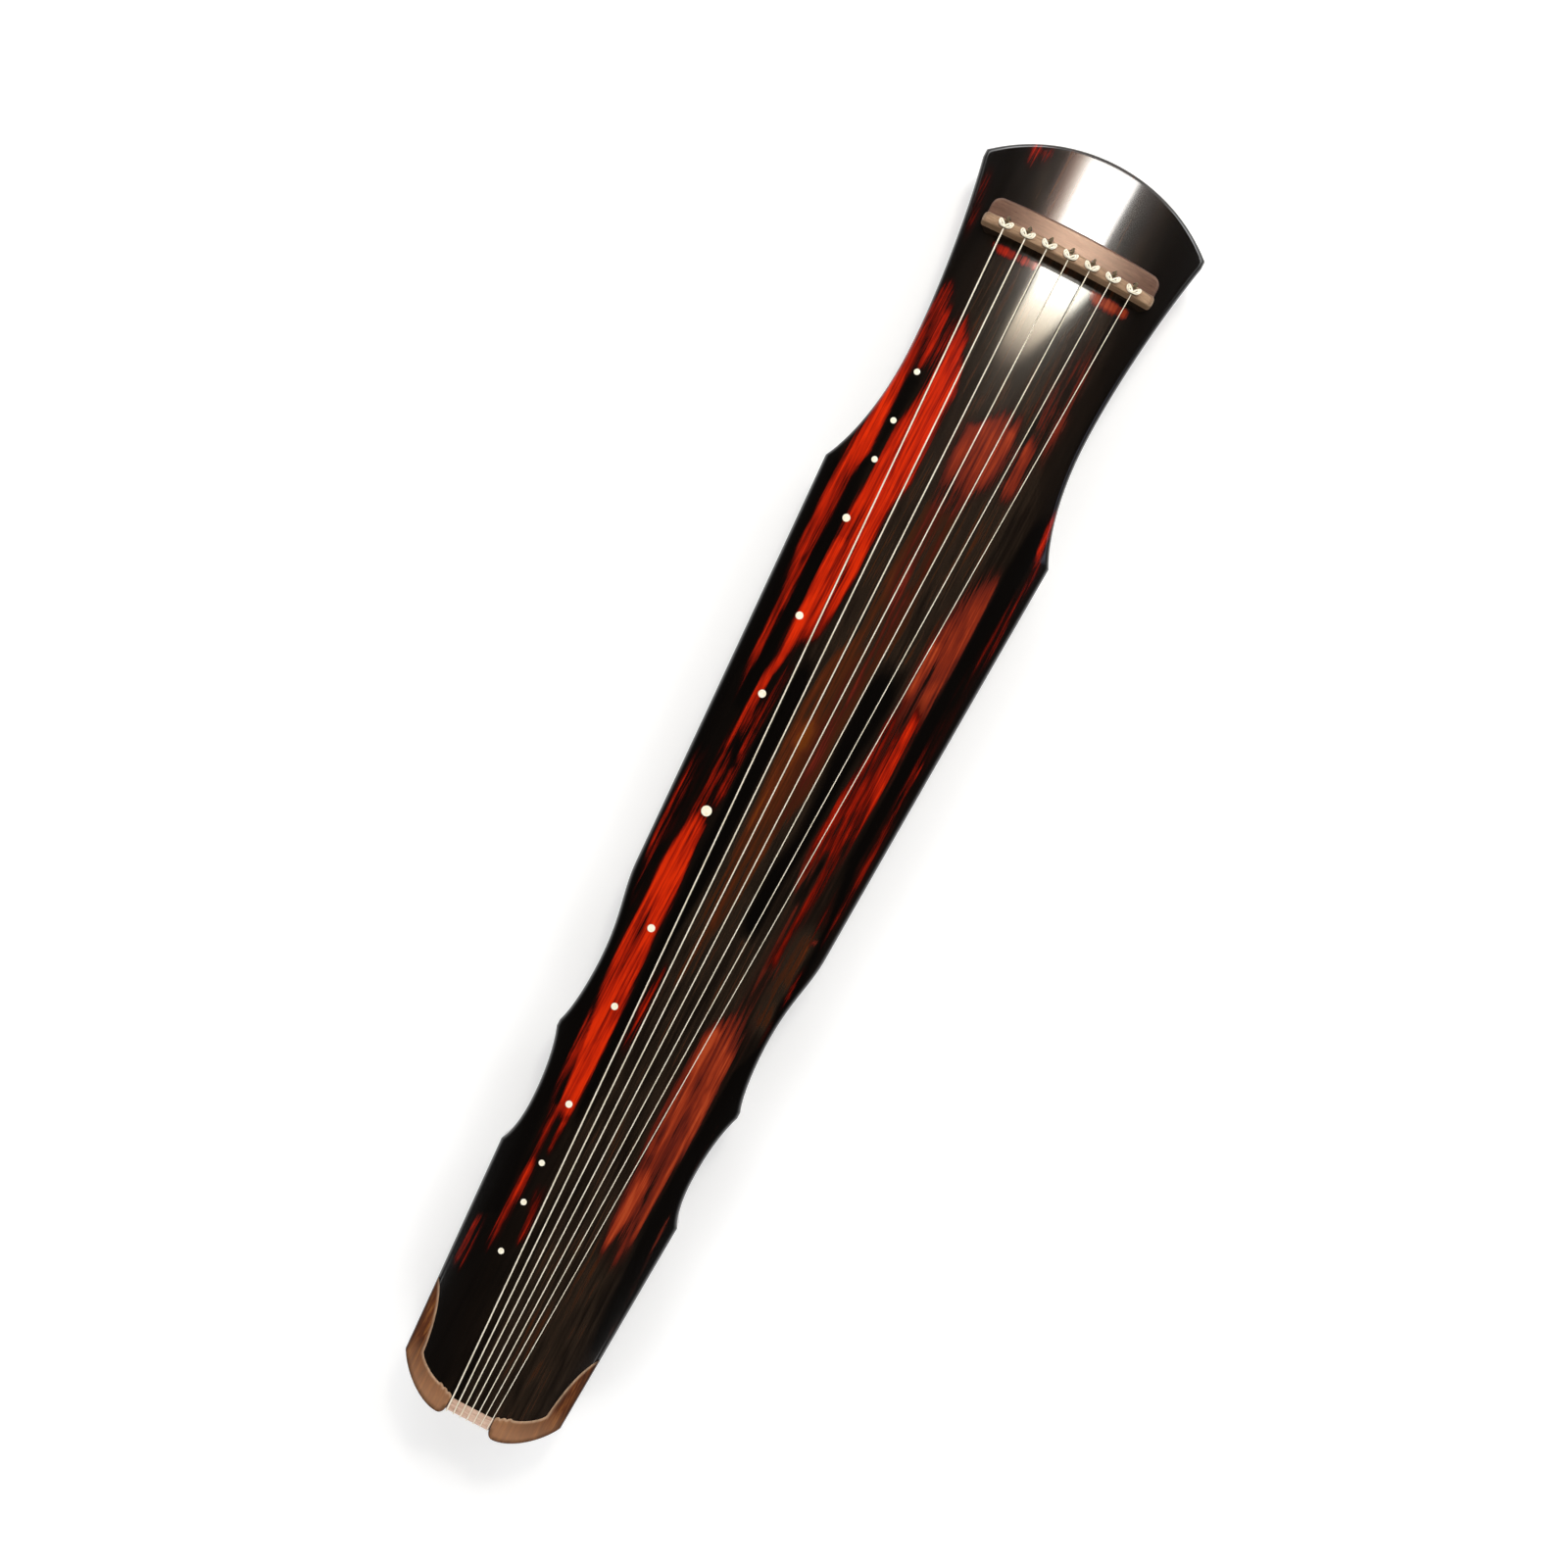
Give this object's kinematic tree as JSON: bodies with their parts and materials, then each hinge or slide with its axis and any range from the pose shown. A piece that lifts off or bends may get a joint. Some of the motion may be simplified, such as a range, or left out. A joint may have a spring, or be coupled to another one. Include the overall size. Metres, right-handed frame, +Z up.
{
  "type": "guqin",
  "caption": "Long seven-string zither with a domed, lacquered top board, thirteen inlaid studs, a high bridge, tuning pegs below the head and two feet.",
  "frame": {"origin": "middle of the whole object's box on the surface that it stands on", "axes": "+X along the strings towards the head, +Y towards the side with the studs (away from the player), +Z up"},
  "size_m": [1.228, 0.2176, 0.091],
  "materials": {
    "top_lacquer": "glossy black lacquer over grey ground, streaked with vermilion along the length",
    "under_lacquer": "glossy dark red-brown lacquer",
    "bare_wood": "planed, unfinished",
    "rosewood": "oiled satin",
    "crown_wood": "oiled satin, red-brown with grain along the piece",
    "nut_wood": "oiled satin",
    "string_wrap": "nylon-wrapped steel core, pale cream",
    "silk_cord": "two-ply twisted silk",
    "shell": "polished shell, ivory white"
  },
  "bodies": {
    "instrument": {"top_board": "top_lacquer", "bottom_board": "under_lacquer", "heaven_post": "bare_wood", "earth_post": "bare_wood", "bridge": "rosewood", "head_strip": "rosewood", "peg_pool_plate": "rosewood", "tail_nut": "nut_wood", "lower_tail_nut": "nut_wood", "crown_corner_hui_side": "crown_wood", "tail_support_hui_side": "crown_wood", "foot_socket_hui_side": "rosewood", "goose_foot_hui_side": "rosewood", "peg_guard_hui_side": "rosewood", "crown_corner_near_side": "crown_wood", "tail_support_near_side": "crown_wood", "foot_socket_near_side": "rosewood", "goose_foot_near_side": "rosewood", "peg_guard_near_side": "rosewood", "string_1": "string_wrap", "string_2": "string_wrap", "string_3": "string_wrap", "string_4": "string_wrap", "string_5": "string_wrap", "string_6": "string_wrap", "string_7": "string_wrap", "tuning_cord_1": "silk_cord", "tuning_cord_2": "silk_cord", "tuning_cord_3": "silk_cord", "tuning_cord_4": "silk_cord", "tuning_cord_5": "silk_cord", "tuning_cord_6": "silk_cord", "tuning_cord_7": "silk_cord", "stud_01": "shell", "stud_02": "shell", "stud_03": "shell", "stud_04": "shell", "stud_05": "shell", "stud_06": "shell", "stud_07": "shell", "stud_08": "shell", "stud_09": "shell", "stud_10": "shell", "stud_11": "shell", "stud_12": "shell", "stud_13": "shell"},
    "peg_1": {"tuning_peg_1": "rosewood", "peg_tie_1": "silk_cord"},
    "peg_2": {"tuning_peg_2": "rosewood", "peg_tie_2": "silk_cord"},
    "peg_3": {"tuning_peg_3": "rosewood", "peg_tie_3": "silk_cord"},
    "peg_4": {"tuning_peg_4": "rosewood", "peg_tie_4": "silk_cord"},
    "peg_5": {"tuning_peg_5": "rosewood", "peg_tie_5": "silk_cord"},
    "peg_6": {"tuning_peg_6": "rosewood", "peg_tie_6": "silk_cord"},
    "peg_7": {"tuning_peg_7": "rosewood", "peg_tie_7": "silk_cord"}
  },
  "joints": [
    {"name": "peg_1_turn", "type": "hinge", "parent": "instrument", "child": "peg_1", "pos_m": [0.5266, 0.0614, 0.037], "axis": [0, 0, 1], "range_deg": [-810, 810]},
    {"name": "peg_2_turn", "type": "hinge", "parent": "instrument", "child": "peg_2", "pos_m": [0.5266, 0.04093, 0.037], "axis": [0, 0, 1], "range_deg": [-810, 810]},
    {"name": "peg_3_turn", "type": "hinge", "parent": "instrument", "child": "peg_3", "pos_m": [0.5266, 0.02047, 0.037], "axis": [0, 0, 1], "range_deg": [-810, 810]},
    {"name": "peg_4_turn", "type": "hinge", "parent": "instrument", "child": "peg_4", "pos_m": [0.5266, 0, 0.037], "axis": [0, 0, 1], "range_deg": [-810, 810]},
    {"name": "peg_5_turn", "type": "hinge", "parent": "instrument", "child": "peg_5", "pos_m": [0.5266, -0.02047, 0.037], "axis": [0, 0, 1], "range_deg": [-810, 810]},
    {"name": "peg_6_turn", "type": "hinge", "parent": "instrument", "child": "peg_6", "pos_m": [0.5266, -0.04093, 0.037], "axis": [0, 0, 1], "range_deg": [-810, 810]},
    {"name": "peg_7_turn", "type": "hinge", "parent": "instrument", "child": "peg_7", "pos_m": [0.5266, -0.0614, 0.037], "axis": [0, 0, 1], "range_deg": [-810, 810]}
  ]
}
